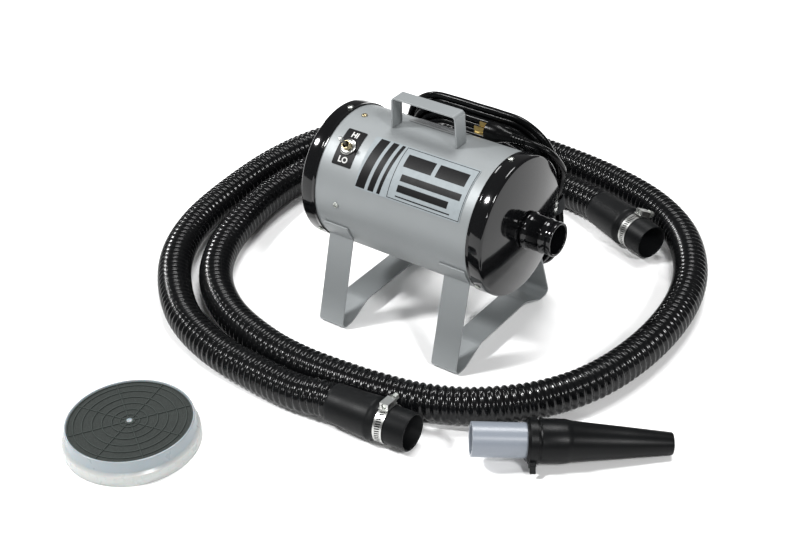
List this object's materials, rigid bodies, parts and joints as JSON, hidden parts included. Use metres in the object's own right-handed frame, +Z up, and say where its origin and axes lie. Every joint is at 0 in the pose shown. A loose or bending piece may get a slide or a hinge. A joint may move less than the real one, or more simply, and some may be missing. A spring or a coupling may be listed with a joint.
{
  "type": "pet dryer",
  "caption": "Horizontal drum blower on two bent strap legs with a carry handle, speed toggle, loose corrugated hose, tapered nozzle, round filter cap and power cord.",
  "frame": {"origin": "on the floor, at the middle of the base of the dryer, nozzle and filter cap together, cord and hose left out", "axes": "+X along the drum towards its outlet, +Z up, -Y towards the side with the switch"},
  "size_m": [0.8439, 0.9341, 0.31],
  "materials": {
    "silver_paint": "satin",
    "gloss_black_paint": "gloss",
    "gloss_black_plastic": "gloss",
    "black_rubber": "satin",
    "black_vinyl_hose": "gloss",
    "bright_steel": "brushed",
    "zinc_plate": "bright",
    "brass": "bright",
    "aluminium": "as cast",
    "copper": "bright",
    "iron_stack": "varnished",
    "acoustic_foam": "open cell",
    "filter_foam": "open cell",
    "grey_pvc": "smooth",
    "white_translucent": "translucent",
    "print": "printed",
    "foil": "printed foil",
    "grey_rubber": "satin"
  },
  "bodies": {
    "dryer": {"drum_shell": "silver_paint", "front_end_cap": "gloss_black_paint", "rear_end_cap": "gloss_black_paint", "outlet_spigot": "gloss_black_plastic", "carry_handle": "silver_paint", "front_leg": "silver_paint", "rear_leg": "silver_paint", "switch_plate": "print", "switch_body": "bright_steel", "switch_nut": "bright_steel", "name_label": "print", "rating_label": "foil", "baffle_plate": "zinc_plate", "rubber_mount_ring": "black_rubber", "fan_housing": "zinc_plate", "diffuser": "aluminium", "stator": "iron_stack", "motor_frame": "aluminium", "fan_end_bearing": "bright_steel", "brush_end_bearing": "bright_steel", "brush_holder_1": "brass", "brush_holder_2": "brass", "acoustic_foam": "acoustic_foam", "strain_relief": "black_rubber", "power_cord": "black_rubber", "cord_hank": "black_rubber", "cord_tail": "black_rubber", "cord_tie": "grey_rubber", "plug_body": "black_rubber", "plug_blade_1": "brass", "plug_blade_2": "brass", "plug_earth_pin": "brass", "cuff_a": "black_rubber", "cuff_b": "black_rubber", "clamp_band_a": "bright_steel", "clamp_band_b": "bright_steel", "hose_tube": "black_vinyl_hose", "front_cap_screw_1": "zinc_plate", "front_cap_screw_2": "zinc_plate", "front_cap_screw_3": "zinc_plate", "rear_cap_screw_1": "zinc_plate", "rear_cap_screw_2": "zinc_plate", "rear_cap_screw_3": "zinc_plate", "baffle_screw_1": "zinc_plate", "baffle_screw_2": "zinc_plate", "baffle_screw_3": "zinc_plate"},
    "rotor": {"motor_shaft": "bright_steel", "armature": "iron_stack", "commutator": "copper", "impeller_1": "aluminium", "impeller_2": "aluminium"},
    "toggle": {"toggle_lever": "bright_steel"},
    "worm_a": {"clamp_screw_a": "zinc_plate"},
    "worm_b": {"clamp_screw_b": "zinc_plate"},
    "nozzle": {"nozzle_tube": "grey_pvc", "nozzle_cone": "black_rubber", "nozzle_clamp": "gloss_black_plastic"},
    "filter_cap": {"filter_ring": "white_translucent", "filter_foam": "filter_foam", "filter_web": "grey_rubber"}
  },
  "joints": [
    {"name": "rotor_spin", "type": "hinge", "parent": "dryer", "child": "rotor", "pos_m": [-0.05318, 0.19808, 0.1758], "axis": [1, 0, 0], "continuous": true},
    {"name": "speed_toggle", "type": "hinge", "parent": "dryer", "child": "toggle", "pos_m": [-0.17878, 0.14355, 0.24765], "axis": [1, 0, 0], "range_deg": [-12, 12]},
    {"name": "worm_a_turn", "type": "hinge", "parent": "dryer", "child": "worm_a", "pos_m": [0.06783, 0.48072, 0.05382], "axis": [0.3159, 0.8245, -0.4695], "continuous": true},
    {"name": "worm_b_turn", "type": "hinge", "parent": "dryer", "child": "worm_b", "pos_m": [0.02286, -0.0586, 0.05709], "axis": [-0.0611, 0.9943, -0.0872], "continuous": true},
    {"name": "nozzle_lift", "type": "slide", "parent": "dryer", "child": "nozzle", "axis": [0, 0, 1], "range_m": [0, 0.3]},
    {"name": "filter_lift", "type": "slide", "parent": "dryer", "child": "filter_cap", "axis": [0, 0, 1], "range_m": [0, 0.3]}
  ]
}
